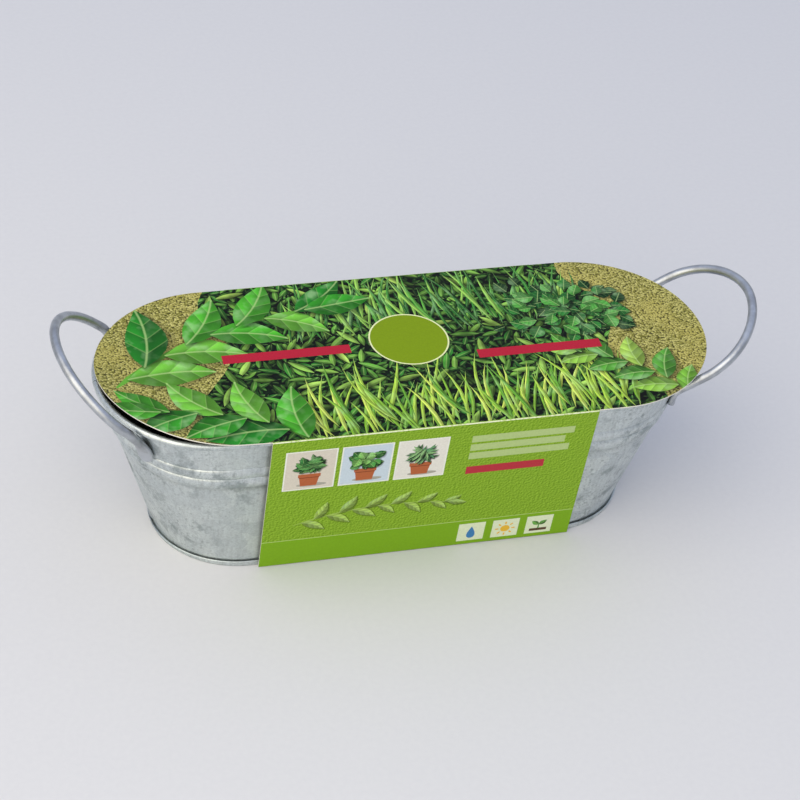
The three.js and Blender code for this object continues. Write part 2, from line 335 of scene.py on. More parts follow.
def climb(low, high, steps):
    """The middle of the sheet over a plain stretch of wall, without its upper end."""
    return [(-sheet / 2, low + (high - low) * i / steps) for i in range(steps)]


def wall_line(low, high):
    """The middle of the sheet up the wall: foot ring, plain part, beads and neck."""
    line = climb(low, foot_height, foot_steps) + climb(foot_height, bead_bottom, wall_steps)
    for i in range(bead_count * bead_steps):
        swell = abs(sin(pi * i / bead_steps)) ** bead_steepness
        line.append((bead_rise * swell - sheet / 2, bead_bottom + bead_height * i / bead_steps))
    return line + climb(bead_top, high, neck_steps)


def thicken(line):
    """Both faces of the sheet along its middle line, as one closed outline."""
    inner = []
    outer = []
    ends = [line[0], *line, line[-1]]
    for before, (out, height), after in zip(ends, line, ends[2:]):
        inwards = Vector((before[1] - after[1], after[0] - before[0])).normalized() * sheet / 2
        inner.append((out + inwards.x, height + inwards.y))
        outer.append((out - inwards.x, height - inwards.y))
    return inner + outer[::-1]


def dented(station, height, out):
    """A point on the wall, with the shallow dents that fade out at the foot and at the rim."""
    flat = wall_point(station, height, out) / dent_size
    slack = ramp(height, dent_start, dent_start + dent_fade)
    slack *= ramp(height, flare_top, flare_top - dent_fade)
    return wall_point(station, height, out + dent_depth * slack * noise.noise(flat))


def wall_half(start):
    curl_centre = (curl_centre_out, rim_height - curl_outer)
    curl = arc(curl_centre, (curl_middle, curl_middle), pi, -curl_sweep, curl_steps)
    outline = thicken(wall_line(sheet + seam_gap, flare_top) + curl)
    rings = [[dented(station, height, out) for out, height in outline] for station in half_round(start)]
    for point in rings[0] + rings[-1]:
        point.y = trough_middle.y + cos(start) * seam_gap / 2
    return skin(rings)


def eased(share):
    return share * share * (3 - 2 * share)


def lap_point(side, turn, height, out):
    return wall_point((side, turn if side > 0 else pi - turn), height, out)


def lap(side):
    """The strip that steps out of the front half and covers the edge of the back half."""
    outline = thicken(lap_line)
    rings = []
    for i in range(lap_steps + 1):
        turn = lap_start + (lap_end - lap_start) * i / lap_steps
        share = ramp(turn, lap_start, lap_start + lap_step_turn)
        step_out = lap_rise * eased(share) - sheet * (1 - share) / 2
        rings.append([lap_point(side, turn, height, out + step_out) for out, height in outline])
    return skin(rings if side > 0 else rings[::-1])


def solder_run(side):
    """The run of solder that closes the free edge of the lap, a little uneven in its width."""
    rings = []
    for middle, height in lap_line:
        face = middle + sheet / 2
        wave = 1 + solder_waver * noise.noise(Vector((side, 0, height / solder_wave)))
        toe = lap_end + solder_width * wave / mouth_radius
        heel = lap_end - solder_root / mouth_radius
        section = ((heel, solder_heel), (heel, 0), (toe, 0), ((lap_end + toe) / 2, solder_brow))
        rings.append([lap_point(side, turn, height, face + lap_rise * share) for turn, share in section])
    return skin(rings[::-1] if side > 0 else rings)


def join(shells):
    """Several closed shells as the points and faces of one mesh."""
    points = []
    faces = []
    for shell_points, shell_faces in shells:
        faces += [tuple(len(points) + i for i in face) for face in shell_faces]
        points += shell_points
    return points, faces


def grained(add, grain, shades, relief=None, detail=3, coarse=0.5, **surface):
    """Two shades that blend in a fine grain, which may stand out as relief too."""
    place = add("TexCoord", out="Object")
    grains = add("TexNoise", place, Size=grain, Detail=detail, Roughness=coarse)
    if relief:
        surface["Normal"] = add("Bump", Height=grains, **relief)
    return {"Base_Color": add("Mix", grains, *shades), **surface}


# Tin solder wiped along a seam is whiter and smoother than the zinc, with small ripples.
tin_solder = made_of(
    "wiped_tin_solder",
    grained,
    grain=2.5 * mm,
    shades=("#b9bebd", "#d2d5d3"),
    relief={"Strength": 0.4, "Distance": 0.2 * mm},
    Metallic=1,
    Roughness=0.32,
)
lap_line = wall_line(lap_low, lap_high) + [(-sheet / 2, lap_high)]
shells = [wall_half(pi), lap(-1), lap(1), solder_run(-1), solder_run(1)]
front_wall = piece("front_wall_sheet", *join(shells), [zinc_sheet, tin_solder])
finish_numbers = [number for shell, number in zip(shells, (0, 0, 0, 1, 1)) for face in shell[1]]
front_wall.data.polygons.foreach_set("material_index", finish_numbers)
fit(front_wall, "front_wall")
fit(piece("back_wall_sheet", *wall_half(0), [zinc_sheet]), "back_wall")


# Rim wire: plain drawn steel wire, rolled into the rim to stiffen it. Only its underside can be seen,
# through the slit where the curl of the rim stops short. It is mid grey and dull, with fine scratches
# that are drawn as coarse as they need to show.
drawn_steel = made_of(
    "drawn_steel_wire",
    grained,
    grain=0.8 * mm,
    shades=("#83888b", "#a3a8aa"),
    relief={"Strength": 0.2, "Distance": 0.05 * mm},
    Metallic=1,
    Roughness=0.45,
)
rim_wire = frame["nodes"]["rim_wire"]
rim_wire.data.materials.clear()
rim_wire.data.materials.append(drawn_steel)


# Handles: round zinc-plated wire bent into a loop at each end, its two ends hammered flat into paddles
# that are spot-welded to the wall and rest on the upper bead. Each was bent by hand, so the loops differ.
wire_radius = 2.3 * mm
paddle_width = 9 * mm
paddle_thickness = 2.9 * mm
paddle_squareness = 0.35
paddle_length = 7.5 * mm
paddle_lap = 1.6 * mm
paddle_lift = 0.8 * mm
paddle_tip = 3 * mm
tip_narrowing = 0.8
paddle_bead_gap = 0.8 * mm
neck_length = 9 * mm
neck_rim_gap = 0.9 * mm
bend_points = 7
span_steps = 14
wire_sides = 20
Loop = namedtuple("Loop", "side root_angle tilt neck_drop shoulder_out shoulder_spread reach crown_spread")
left_loop = Loop(-1, radians(42.2), radians(43.3), 2.4 * mm, 16.6 * mm, 42.5 * mm, 40.9 * mm, 26.8 * mm)
right_loop = Loop(1, radians(38.7), radians(34.5), 6.5 * mm, 29.9 * mm, 43.8 * mm, 47.2 * mm, 19.4 * mm)


def galvanised_wire(add):
    """Zinc-plated wire: satin grey with long soft highlights, small pits and darker rubbed spots."""
    place = add("TexCoord", out="Object")
    # The pits are finer on a real wire, and are drawn as coarse as they need to show.
    pits = add("TexNoise", place, Size=1.1 * mm, Detail=3)
    rubs = add("TexNoise", place, Size=9 * mm, Detail=4, Roughness=0.6)
    rubbed = add("MapRange", rubs, From=(0.4, 0.75))
    colour = add("Mix", rubbed, "#bfc4c9", "#969a9f")
    rough = add("MapRange", rubbed, To=(0.34, 0.46))
    normal = add("Bump", Strength=0.15, Distance=0.06 * mm, Height=pits)
    return {"Base_Color": colour, "Metallic": 1, "Roughness": rough, "Normal": normal}


def curve_through(points):
    """A smooth curve through points, paced by the square roots of their distances."""
    row = [points[0] * 2 - points[1], *points, points[-1] * 2 - points[-2]]
    curve = []
    for a, b, c, d in zip(row, row[1:], row[2:], row[3:]):
        t1 = (b - a).length ** 0.5
        t2 = t1 + (c - b).length ** 0.5
        t3 = t2 + (d - c).length ** 0.5
        for i in range(span_steps):
            t = t1 + (t2 - t1) * i / span_steps
            share = (t - t1) / (t2 - t1)
            bc = b.lerp(c, share)
            abc = a.lerp(b, t / t1).lerp(bc, t / t2)
            bcd = bc.lerp(c.lerp(d, (t - t2) / (t3 - t2)), (t - t1) / (t3 - t1))
            curve.append(abc.lerp(bcd, share))
    return curve + [points[-1]]


def handle_line(loop):
    """The middle of the wire, from the foot of one paddle over the crown to the foot of the other."""
    station = (loop.side, -loop.root_angle if loop.side > 0 else pi + loop.root_angle)
    lay = seam_gap + paddle_thickness / 2
    neck = wall_point(station, rim_height - loop.neck_drop, rim_out + wire_radius + neck_rim_gap)

    def on_loop(out, spread):
        x = neck.x + loop.side * out * cos(loop.tilt)
        return Vector((x, trough_middle.y - spread, neck.z + out * sin(loop.tilt)))

    shoulder = on_loop(loop.shoulder_out, loop.shoulder_spread)
    pull = on_loop(loop.reach, loop.crown_spread)
    crown = on_loop(loop.reach, 0)
    half = [
        wall_point(station, bead_top - paddle_lap, lay + paddle_lift),
        wall_point(station, bead_top + paddle_bead_gap, lay),
        wall_point(station, bead_top - paddle_lap + paddle_length, lay),
    ]
    for i in range(bend_points + 1):
        t = i / bend_points
        u = 1 - t
        half.append(neck * u ** 3 + shoulder * 3 * u * u * t + pull * 3 * u * t * t + crown * t ** 3)
    mirrored = [Vector((p.x, 2 * trough_middle.y - p.y, p.z)) for p in half[:-1]]
    return curve_through(half + mirrored[::-1])


def squared_circle(sides, power):
    """Points round a circle of radius 1, which a power under 1 squares off."""
    circle = arc((0, 0), (1, 1), 0, 2 * pi, sides)[:-1]
    return [[copysign(abs(part) ** power, part) for part in point] for point in circle]


def handle(loop):
    line = handle_line(loop)
    walked = list(accumulate(((b - a).length for a, b in zip(line, line[1:])), initial=0))
    ends = [line[0], *line, line[-1]]
    tangents = [(after - before).normalized() for before, after in zip(ends, ends[2:])]
    outwards = Vector((loop.side * cos(loop.root_angle), -sin(loop.root_angle), 0))
    outwards = (outwards - tangents[0] * outwards.dot(tangents[0])).normalized()
    rings = []
    for i, centre in enumerate(line):
        if i:
            outwards = tangents[i - 1].rotation_difference(tangents[i]) @ outwards
        sideways = tangents[i].cross(outwards)
        from_tip = min(walked[i], walked[-1] - walked[i])
        wire = eased(ramp(from_tip, paddle_length, paddle_length + neck_length))
        tip = (1 - (1 - min(from_tip / paddle_tip, 1)) ** 2 * tip_narrowing) ** 0.5
        thick = paddle_thickness / 2 * (1 - wire) + wire_radius * wire
        wide = paddle_width / 2 * tip * (1 - wire) + wire_radius * wire
        section = squared_circle(wire_sides, 1 - paddle_squareness * (1 - wire))
        rings.append([centre + outwards * thick * up + sideways * wide * over for up, over in section])
    return skin(rings)


zinc_wire = made_of("galvanised_zinc_wire", galvanised_wire)
fit(piece("left_loop", *handle(left_loop), [zinc_wire], sharp_degrees=60), "left_handle")
fit(piece("right_loop", *handle(right_loop), [zinc_wire], sharp_degrees=60), "right_handle")


# Kit bags: two clear film bags, one of potting soil and one of clay granules, sealed at both ends and laid
# end to end on the base. The film clings to the filling, creases towards its seals and sags flat below.
bag_roundness = 3.2
bag_flat = 0.62
bag_flat_rings = 3
bag_slack = 1.2 * mm
bag_lump = 13 * mm
bag_crease = 5 * mm
lump_share = 0.5
crease_share = 0.5
crease_floor = 0.4
crease_stretch = 8
bag_sides = 120
bag_levels = 30
bag_top_rings = 9
seal_length = 7 * mm
seal_share = 0.4
seal_spread = 0.62
seal_thickness = 0.4 * mm
seal_ridge = 1.4 * mm
pinch_start = 0.62
pinch_depth = 0.9


def film_bag(add, crumb, crumb_rise, shades, gaps):
    """Clear film drawn tight over a loose filling: the crumbs show through a glossy creased skin, and
    darken to painted shade at their edges and in the gaps between them.
    """
    place = add("TexCoord", out="Object")
    crumbs = add("TexVoronoi", place, Size=crumb)
    tint = add("SeparateColor", crumbs.node.outputs["Color"])
    # Painted shade: each crumb darkens towards its edge, into the near-black gaps between crumbs.
    gap = add("MapRange", crumbs, From=(0.35, 0.75))
    crinkles = add("TexNoise", place, Size=7 * mm, Detail=4)
    return {
        "Base_Color": add("Mix", gap, add("Mix", tint, *shades), gaps),
        "Roughness": 0.7,
        "Normal": add("Bump", Strength=0.5, Distance=crumb_rise, Height=crumbs, invert=True),
        "Coat_Weight": 0.9,
        "Coat_Roughness": 0.12,
        "Coat_Normal": add("Bump", Strength=0.5, Distance=0.8 * mm, Height=crinkles),
    }


def bag_section():
    """The bag's side as shares of its width and height, from the middle of its base over its top."""
    section = [(bag_flat * i / bag_flat_rings, 0) for i in range(1, bag_flat_rings)]
    for i in range(bag_levels + 1):
        turn = pi * i / bag_levels
        section.append((bag_flat + (1 - bag_flat) * sqrt(sin(turn)), (1 - cos(turn)) / 2))
    return section + [(bag_flat * (1 - i / bag_top_rings), 1) for i in range(1, bag_top_rings)]


def seal_tab(middle, half, level, end):
    """The flat tab that the hot bars press across the end of the bag, with its fine ridges."""
    ridges = 2 * round((seal_length + bag_slack) / seal_ridge)
    side = end * half.y * seal_spread
    rows = []
    for i in range(ridges + 1):
        x = middle.x + end * (half.x - (seal_length + 2 * bag_slack) * (1 - i / ridges))
        low = level + seal_thickness * (0 if i % 2 else -1)
        high = low + seal_thickness
        section = ((-side, low), (side, low), (side, high), (-side, high))
        rows.append([Vector((x, middle.y + y, z)) for y, z in section])
    return skin(rows)


def filled_bag(name, solid, film):
    low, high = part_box(solid)
    middle = (low + high) / 2
    half = (high - low) / 2
    reach = half.x - seal_length
    seal_level = low.z + 2 * half.z * seal_share
    rings = []
    for share, rise in bag_section():
        ring = []
        for along, across in squared_circle(bag_sides, 2 / bag_roundness):
            spot = Vector((share * along * reach, share * across * half.y, 2 * half.z * rise))
            lump = noise.noise((spot + middle) / bag_lump)
            crease = noise.noise(Vector((spot.x / crease_stretch, spot.y, spot.z)) / bag_crease)
            to_seal = eased(ramp(abs(spot.x) / reach, pinch_start, 1))
            pull = bag_slack * (1 + lump_share * lump + crease_share * crease * (crease_floor + to_seal))
            spot.x -= copysign(min(pull, abs(spot.x)), spot.x)
            spot.y -= copysign(min(pull, abs(spot.y)), spot.y)
            height = low.z + spot.z - (pull if rise == 1 else 0)
            height = seal_level + (height - seal_level) * (1 - pinch_depth * to_seal)
            ring.append(Vector((middle.x + spot.x, middle.y + spot.y, max(height, low.z))))
        rings.append(ring)
    tabs = [seal_tab(middle, half, seal_level, end) for end in (-1, 1)]
    pouch = piece(name, *join([skin(rings), *tabs]), [film], sharp_degrees=70)
    fit(pouch, solid)


# The last colour of each filling is painted shade, for the gaps between its crumbs.
soil = {"crumb": 2.2 * mm, "crumb_rise": 0.5 * mm, "shades": ("#4a3726", "#2b2018"), "gaps": "#120d09"}
granules = {"crumb": 6.5 * mm, "crumb_rise": 1.6 * mm, "shades": ("#b5724a", "#8c5233"), "gaps": "#3b2115"}
soil_film = made_of("potting_soil_in_clear_film", film_bag, **soil)
granule_film = made_of("clay_granules_in_clear_film", film_bag, **granules)
filled_bag("soil_pouch", "potting_soil_bag", soil_film)
filled_bag("granule_pouch", "clay_granule_bag", granule_film)


# Seed packets: three paper envelopes of herb seed, sealed flat round their edges, with a plain sprig
# printed on the front. They lie loose on the two bags. Print is offset ink on the paper, drawn as flush
# areas of its face, and its lengths are in mm.
packet_length = 80
packet_width = 58
packet_turn = radians(14)
packet_hem = 2
packet_seal = 9
packet_edge = 0.4
packet_lift = 0.3
packet_wave = 9
packet_waver = 0.1
packet_margin = 3
packet_band = 19
packet_strip = 6
shadow_depth = 0.85
shadow_spread = 1.4
shadow_reach = 1.1
shadow_fade = 3
narrowest = 0.05
stem_width = 0.16
stem_taper = 0.6
stem_foot = 0.3
first_leaf = 0.7
tip_shrink = 0.3
leaf_bow = 0.07
row_stagger = 0.02
weld = 0.002
flat_noise = {"noise_dimensions": "2D"}
Blade = namedtuple("Blade", "root along across length width bow point")
Shape = namedtuple("Shape", "outline finish colour blade", defaults=(None,))


def varnished(add, draw_colour, roughness=0.42):
    """Offset ink under a thin matt varnish, in its printed shade, with a faint mottle of paper fibre."""
    # Real fibres are finer, and these are drawn as coarse as they need to show.
    fibres = add("TexNoise", add("TexCoord", out="Object"), Size=1 * mm, Detail=3)
    mottle = add("MapRange", fibres, From=noise_span, To=(0.95, 1.05))
    tone = add("Math.MULTIPLY", mottle, add("Attribute", out="Fac", attribute_name="light"))
    inked = add("Mix.MULTIPLY", 1, draw_colour(add), tone)
    return {"Base_Color": inked, "Roughness": roughness, "Specular_IOR_Level": 0.12}


def plain_colour(add):
    return add("VertexColor", layer_name="ink")


def leaf_colour(add):
    """A leaf: pale ribs, a blade that swells between them, one half in the light, and patches of sheen."""
    vein_rows = 4.2
    vein_slant = -0.9
    along = add("SeparateXYZ", add("UVMap", uv_map="leaf"))
    across = along.node.outputs["Y"]
    off_rib = add("Math.ABSOLUTE", across)
    rows = add("Math.MULTIPLY_ADD", along, vein_rows, add("Math.MULTIPLY", off_rib, vein_slant))
    off_vein = add("Math.PINGPONG", rows, 0.5)
    shade = add("MapRange", add("Math.FRACT", rows), To=(1.28, 0.7))
    lit = add("MapRange", across, From=(-0.3, 0.4), To=(0.62, 1.25), interpolation_type="SMOOTHSTEP")
    root = add("MapRange", along, From=(0, 0.5), To=(0.7, 1.05))
    rim = add("MapRange", off_rib, From=(0.55, 1), To=(1, 0.8))
    for tone in (lit, root, rim):
        shade = add("Math.MULTIPLY", shade, tone)
    body = add("Mix.MULTIPLY", 1, plain_colour(add), shade)
    gloss = add("TexNoise", add("UVMap", uv_map="plan"), Size=9, Detail=2, **flat_noise)
    bright = add("MapRange", gloss, From=(0.48, 0.72), To=(0, 0.42))
    crown = add("MapRange", across, From=(0, 0.45), To=(0.25, 1))
    shiny = add("Mix", add("Math.MULTIPLY", bright, crown), body, "#b6dca4")
    vein = add("MapRange", off_vein, From=(0, 0.06), To=(0.3, 0))
    rib = add("MapRange", off_rib, From=(0.02, 0.08), To=(0.55, 0))
    return add("Mix", rib, add("Mix", vein, shiny, "#a9cf7c"), "#b9d98c")


def area(outline, colour, finish="ink"):
    return Shape([Vector(point) for point in outline], finish, colour)


def block(left, bottom, right, top, colour, finish="ink"):
    return area([(left, bottom), (right, bottom), (right, top), (left, top)], colour, finish)


def heading_to(angle):
    return Vector((cos(angle), sin(angle)))


def leaf(root, heading, length, width, colour, bow=0, point=0.85, steps=7, finish="leaf"):
    """A leaf: its outline from stalk to tip and back, and the blade that its veins follow."""
    along = heading_to(heading)
    blade = Blade(Vector(root), along, along.orthogonal(), length, width, bow, point)
    shares = [i / steps for i in range(steps + 1)]
    outline = []
    for side, run in ((-1, shares), (1, shares[-2:0:-1])):
        for share in run:
            spread = side * width / 2 * sin(pi * share ** point) + 4 * bow * length * share * (1 - share)
            outline.append(blade.root + along * length * share + blade.across * spread)
    return Shape(outline, finish, colour, blade)


def over_shadow(made, shift):
    """A leaf over its soft shadow, which is the same leaf, larger and moved away from the light."""
    blade = made.blade
    root = blade.root + Vector(shift) - blade.along * blade.length * (shadow_reach - 1) / 2
    heading = atan2(blade.along.y, blade.along.x)
    size = (blade.length * shadow_reach, blade.width * shadow_spread)
    return [leaf(root, heading, *size, "#000000", blade.bow, blade.point, finish="shadow"), made]


def along_path(path, share):
    """A point on a path that three points bend, and the way in which the path runs there."""
    start, pull, end = (Vector(point) for point in path)
    spot = start * (1 - share) ** 2 + pull * 2 * share * (1 - share) + end * share ** 2
    return spot, (pull - start) * (1 - share) + (end - pull) * share


def stalk(path, width, colour, steps=10):
    """A stem along a path, which tapers to its tip and is pointed at its foot."""
    left = []
    right = []
    for i in range(steps + 1):
        spot, run = along_path(path, i / steps)
        taper = 1 - stem_taper * (i / steps) if i else stem_foot
        reach_out = run.normalized().orthogonal() * width / 2 * taper
        left.append(spot + reach_out)
        right.append(spot - reach_out)
    return area(right + left[::-1], colour)


def sprig(path, count, length, width, splay, colours, dice, shift=(0.5, -0.6)):
    """A stem with leaves on both sides by turns, each over its own soft shadow, and one leaf at its tip."""
    splays = (0.85, 1.15)
    sizes = (0.88, 1.1)
    shapes = [stalk(path, width * stem_width, colours[-1])]
    for i in range(count + 1):
        share = min((i + first_leaf) / count, 1)
        root, run = along_path(path, share)
        shrink = 1 - tip_shrink * share
        side = 0 if i == count else 1 if i % 2 else -1
        heading = atan2(run.y, run.x) + side * splay * dice.uniform(*splays) * shrink
        size = dice.uniform(*sizes) * shrink
        made = leaf(root, heading, length * size, width * size, dice.choice(colours), -side * leaf_bow)
        shapes += over_shadow(made, shift)
    return shapes


def on_blade(spot, blade):
    """Where a point lies on a leaf: its share of the way to the tip, and of the half width."""
    share = (spot - blade.root).dot(blade.along) / blade.length
    off = (spot - blade.root).dot(blade.across) - 4 * blade.bow * blade.length * share * (1 - share)
    return share, 2 * off / blade.width


def light_under(spot, blades):
    """The share of the light that the shadows of leaves leave at a point."""
    light = 1
    for blade in blades:
        share, off = on_blade(spot, blade)
        swell = sin(pi * min(max(share, 0), 1) ** blade.point)
        depth = max(1 - (off / max(swell, narrowest)) ** 2, 0) * min(shadow_fade * swell, 1)
        light *= 1 - shadow_depth * depth
    return light


def printed_sheet(name, shapes, place, finishes, bare, spacing):
    """A thin sheet whose first shape is its outline and whose print is made of flush areas of its face.

    A later shape covers an earlier one, and a shadow darkens it. place puts a flat point on the sheet's
    front or back.
    """
    flat = []
    loops = []
    for shape in shapes:
        loops.append(list(range(len(flat), len(flat) + len(shape.outline))))
        flat += shape.outline
    low_x, low_y = (min(axis) for axis in zip(*shapes[0].outline))
    size_x, size_y = (max(axis) - min(axis) for axis in zip(*shapes[0].outline))
    columns = int(size_x / spacing)
    rows = int(size_y / spacing)
    for i in range(1, columns):
        for j in range(1, rows):
            share_x = (i + row_stagger * (j % 2)) / columns
            flat.append(Vector((low_x + size_x * share_x, low_y + size_y * j / rows)))
    spots, _, cells, _, _, owners = delaunay_2d_cdt(flat, [], loops, 1, weld, True)
    kept = []
    for cell, owner in zip(cells, owners):
        if 0 in owner:
            top = max(i for i in owner if shapes[i].finish != "shadow")
            kept.append((cell, shapes[top], [shapes[i].blade for i in owner if i > top]))
    used = sorted({i for cell, _, _ in kept for i in cell})
    number = {old: new for new, old in enumerate(used)}
    count = len(used)
    points = [place(*spots[i], front) for front in (True, False) for i in used]
    fronts = [tuple(number[i] for i in cell) for cell, _, _ in kept]
    edges = {(cell[i], cell[(i + 1) % 3]) for cell in fronts for i in range(3)}
    faces = fronts + [tuple(count + i for i in reversed(cell)) for cell in fronts]
    faces += [(b, a, count + a, count + b) for a, b in edges if (b, a) not in edges]
    names = list(finishes)
    made = piece(name, points, faces, [*finishes.values(), bare])
    mesh = made.data
    numbers = [names.index(shape.finish) for _, shape, _ in kept]
    mesh.polygons.foreach_set("material_index", numbers + [len(names)] * (len(faces) - len(kept)))
    plan_places = []
    leaf_places = []
    inks = []
    lights = []
    for cell, shape, above in kept:
        for i in cell:
            plan_places.extend(spots[i])
            leaf_places += on_blade(spots[i], shape.blade) if shape.blade else (0, 0)
            inks += linear(shape.colour)
            lights.append(light_under(spots[i], above))
    bare_corners = len(mesh.loops) - len(lights)
    for layer, places in (("plan", plan_places), ("leaf", leaf_places)):
        mesh.uv_layers.new(name=layer).uv.foreach_set("vector", places + [0, 0] * bare_corners)
    tints = mesh.color_attributes.new("ink", "FLOAT_COLOR", "CORNER")
    tints.data.foreach_set("color", inks + [1, 1, 1, 1] * bare_corners)
    shades = mesh.attributes.new("light", "FLOAT", "CORNER")
    shades.data.foreach_set("value", lights + [1] * bare_corners)
    return made


plain_finishes = {
    "ink": made_of("varnished_ink_on_card", varnished, draw_colour=plain_colour),
    "leaf": made_of("varnished_leaf_ink_on_card", varnished, draw_colour=leaf_colour, roughness=0.45),
}
# Bare fibre shows at a sheet's cut edge and on its unprinted side: off white, with short darker fibres
# that are drawn as coarse as they need to show.
bare_fibre = {"grain": 0.8 * mm, "detail": 4, "coarse": 0.7, "Roughness": 0.75}
packet_paper = made_of("seed_packet_paper", grained, shades=("#efeade", "#ddd6c4"), **bare_fibre)


def seed_packet(seed, turn, band, *leaf_colours):
    solid = f"seed_packet_{seed}"
    low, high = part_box(solid)
    middle = (low + high) / 2
    swell = (high.z - low.z) / mm - packet_edge - packet_lift
    turned = Matrix.Rotation(turn, 3, "Z")
    half_length = packet_length / 2
    half_width = packet_width / 2
    end = half_length - packet_margin
    top = half_width - packet_margin

    def on_packet(x, y, front):
        inside = min(half_length - abs(x), half_width - abs(y))
        waver = 1 - packet_waver + packet_waver * noise.noise(Vector((x, y, seed)) / packet_wave)
        fill = eased(ramp(inside, packet_hem, packet_seal)) * waver
        height = packet_edge + packet_lift + swell * fill if front else packet_lift * (1 - fill)
        return middle + turned @ Vector((x, y, 0)) * mm + Vector((0, 0, low.z - middle.z + height * mm))

    path = ((-26, seed - 4), (-6, 8 - 2 * seed), (13, -3))
    dice = random.Random(seed)
    shapes = [
        block(-half_length, -half_width, half_length, half_width, "#ece6d6"),
        block(-end, -top, end, top, "#f4f1e6"),
        block(end - packet_band, -top, end, top, band),
        block(-end, -top, packet_strip - end, top, band),
        *sprig(path, count=8, length=17, width=7.5, splay=0.9, colours=leaf_colours, dice=dice),
    ]
    name = f"seed_envelope_{seed}"
    made = printed_sheet(name, shapes, on_packet, plain_finishes, packet_paper, spacing=3)
    fit(made, solid)


seed_packet(1, packet_turn, "#3f7d34", "#3f8a3a", "#5aa04a", "#7fb45f")
seed_packet(2, -packet_turn, "#8fa32a", "#6f9a2f", "#86ab3c", "#a6c25a")
seed_packet(3, 0, "#2c6b5a", "#2f7a52", "#3f8c60", "#6fae80")


# Top card: coated white board 0.6 mm thick, die-cut with round ends and printed with herbs on seed grain.
# It lies on the rim, held by its two folded panels. Past the panels nothing holds it, and at the left its
# front edge bows up off the rim.
card_low, card_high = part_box("top_card")
card_middle = (card_low + card_high) / 2
card_thickness = card_high.z - card_low.z
card_radius = (card_high.y - card_low.y) / 2 / mm
card_straight = (card_high.x - card_low.x) / 2 / mm - card_radius
card_arc_steps = 60
bow_turn = radians(35)
bow_start = 98
bow_end = card_straight * cos(bow_turn) + card_radius
bow_rise = 4.4
card_dice = random.Random(5)


def grain_colour(add):
    """Seed grain: small olive and tan kernels with dark gaps, in paler and deeper drifts."""
    kernel_warp = 1.4
    flat = add("UVMap", uv_map="plan")
    wander = add("TexNoise", flat, Size=3, Detail=2, out="Color", **flat_noise)
    bent = add("VectorMath.MULTIPLY_ADD", wander, (kernel_warp, kernel_warp, 0), flat)
    kernels = add("TexVoronoi", bent, Size=1, voronoi_dimensions="2D")
    tint = add("SeparateColor", kernels.node.outputs["Color"])
    drifts = add("TexNoise", flat, Size=26, Detail=3, **flat_noise)
    pale = add("MapRange", drifts, From=(0.42, 0.68), To=(0, 0.6))
    warm = add("Mix", pale, add("Mix", tint, "#79772b", "#d3cd7c"), "#c2b862")
    gap = add("MapRange", kernels, From=(0.34, 0.75), To=(0, 0.92))
    return add("Mix", gap, warm, "#33310f")


def thicket_colour(add):
    """Undergrowth: layers of small leaves, each with its own turn, tone and lit half, over deep shade."""
    layer_shift = (31, 17, 0)
    lean_turn = 3 * pi
    own_turn = 1.9
    shadow_width = 1.8
    soft_edge = 0.35
    layers = (
        (5, 6.5, 2.6, "#0c3412", "#2c6a26"),
        (6, 7.5, 2.8, "#154a1c", "#3d822e"),
        (7, 8.5, 3, "#1d5c20", "#5a9a36"),
        (9, 10, 3.4, "#266a24", "#74ab40"),
        (12, 12.5, 3.3, "#2f7a2a", "#8abb4a"),
        (18, 16, 3.8, "#3f8a2e", "#abd05e"),
    )
    flat = add("UVMap", uv_map="plan")
    deep = add("TexNoise", flat, Size=8, Detail=4, **flat_noise)
    colour = add("Mix", deep, "#040c05", "#173a12")
    for i, (cell, length, width, dark, pale) in enumerate(layers):
        shifted = add("VectorMath.ADD", flat, [i * step for step in layer_shift])
        cells = {"Size": cell, "Randomness": 0.8, "voronoi_dimensions": "2D"}
        seeds = add("TexVoronoi", shifted, out="Position", **cells)
        chance = add("SeparateColor", seeds.node.outputs["Color"])
        lean = add("TexNoise", seeds, Size=30, Detail=1, **flat_noise)
        angle = add("Math.MULTIPLY_ADD", lean, lean_turn, add("Math.MULTIPLY", chance, own_turn))
        away = add("VectorMath.SUBTRACT", shifted, seeds)
        along = add("SeparateXYZ", add("VectorRotate", away, Angle=angle, rotation_type="Z_AXIS"))
        across = along.node.outputs["Y"]
        off_rib = add("Math.ABSOLUTE", across)
        share = add("Math.MULTIPLY", along, 2 / length)
        spread = add("Math.MULTIPLY_ADD", add("Math.MULTIPLY", share, share), -width / 2, width / 2)
        inside = add("Math.SUBTRACT", spread, off_rib)
        mask = add("MapRange", inside, From=(0, soft_edge))
        cast = add("MapRange", inside, From=(-shadow_width, 0), To=(1, 0.25))
        lit = add("MapRange", across, From=(-width / 4, width / 4), To=(0.5, 1.25))
        rib = add("MapRange", off_rib, From=(0.1, 0.4), To=(0.35, 0))
        tint = add("Mix", chance.node.outputs["Green"], dark, pale)
        blade = add("Mix", rib, add("Mix.MULTIPLY", 1, tint, lit), "#a9cc74")
        colour = add("Mix", mask, add("Mix.MULTIPLY", 1, colour, cast), blade)
    sun = add("TexNoise", flat, Size=19, Detail=3, **flat_noise)
    glow = add("MapRange", sun, From=(0.36, 0.64), To=(0.28, 1.35))
    return add("Mix.MULTIPLY", 1, colour, glow)


def oval(centre, width, height, colour, steps):
    return area(arc(centre, (width / 2, height / 2), 0, 2 * pi, steps)[:-1], colour)


def stadium():
    """The card's outline: two straight sides and two round ends."""
    size = (card_radius, card_radius)
    ends = [arc((side * card_straight, 0), size, -side * pi / 2, pi, card_arc_steps) for side in (1, -1)]
    return area(ends[0] + ends[1], "#a39a55", "grain")


